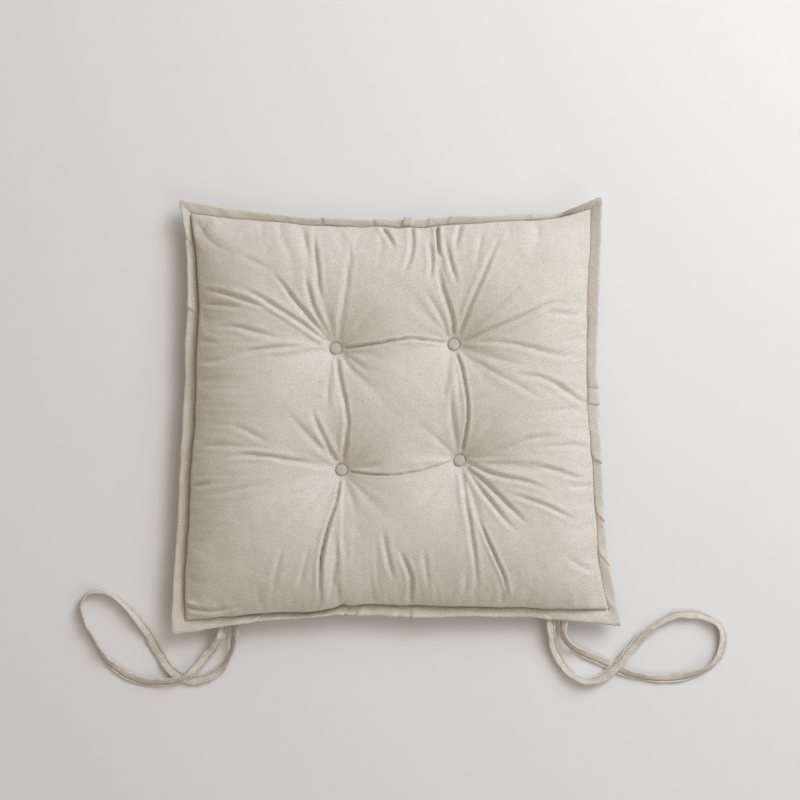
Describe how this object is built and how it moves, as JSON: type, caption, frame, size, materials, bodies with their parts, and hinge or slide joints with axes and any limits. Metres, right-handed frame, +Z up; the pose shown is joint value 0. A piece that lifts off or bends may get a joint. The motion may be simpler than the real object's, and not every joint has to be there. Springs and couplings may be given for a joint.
{
  "type": "chair seat pad",
  "caption": "Square tufted seat pad for a chair: soft woven cover with a flat stitched flange, covered buttons and folded strap loops that tie it on.",
  "frame": {"origin": "centre of the pad's outline, on the surface that its underside rests on", "axes": "+Z up, out of the seat side; +Y towards the front edge of the seat; the tie loops leave the rear edge, at -Y; +X to the right of a person sitting on it"},
  "size_m": [0.6086, 0.4565, 0.0532],
  "materials": {
    "cover_fabric": "brushed beige fabric with a fine diagonal weave",
    "strap_fabric": "the cover's fabric, folded and edge-stitched",
    "thread": "twisted polyester thread",
    "fibre": "white polyester fibre",
    "button_cap": "plain pressed sheet",
    "button_back": "tinned sheet with a wire eye"
  },
  "bodies": {
    "root": {"top_panel": "cover_fabric", "bottom_panel": "cover_fabric", "fibre_filling": "fibre", "flange_needle_thread": "thread", "flange_bobbin_thread": "thread", "button_cover_top_front_left": "cover_fabric", "button_cap_top_front_left": "button_cap", "button_back_top_front_left": "button_back", "button_cover_bottom_front_left": "cover_fabric", "button_cap_bottom_front_left": "button_cap", "button_back_bottom_front_left": "button_back", "tufting_twine_front_left": "thread", "button_cover_top_front_right": "cover_fabric", "button_cap_top_front_right": "button_cap", "button_back_top_front_right": "button_back", "button_cover_bottom_front_right": "cover_fabric", "button_cap_bottom_front_right": "button_cap", "button_back_bottom_front_right": "button_back", "tufting_twine_front_right": "thread", "button_cover_top_rear_left": "cover_fabric", "button_cap_top_rear_left": "button_cap", "button_back_top_rear_left": "button_back", "button_cover_bottom_rear_left": "cover_fabric", "button_cap_bottom_rear_left": "button_cap", "button_back_bottom_rear_left": "button_back", "tufting_twine_rear_left": "thread", "button_cover_top_rear_right": "cover_fabric", "button_cap_top_rear_right": "button_cap", "button_back_top_rear_right": "button_back", "button_cover_bottom_rear_right": "cover_fabric", "button_cap_bottom_rear_right": "button_cap", "button_back_bottom_rear_right": "button_back", "tufting_twine_rear_right": "thread", "tie_loop_left": "strap_fabric", "tie_tack_left": "thread", "tie_loop_right": "strap_fabric", "tie_tack_right": "thread"}
  },
  "joints": []
}
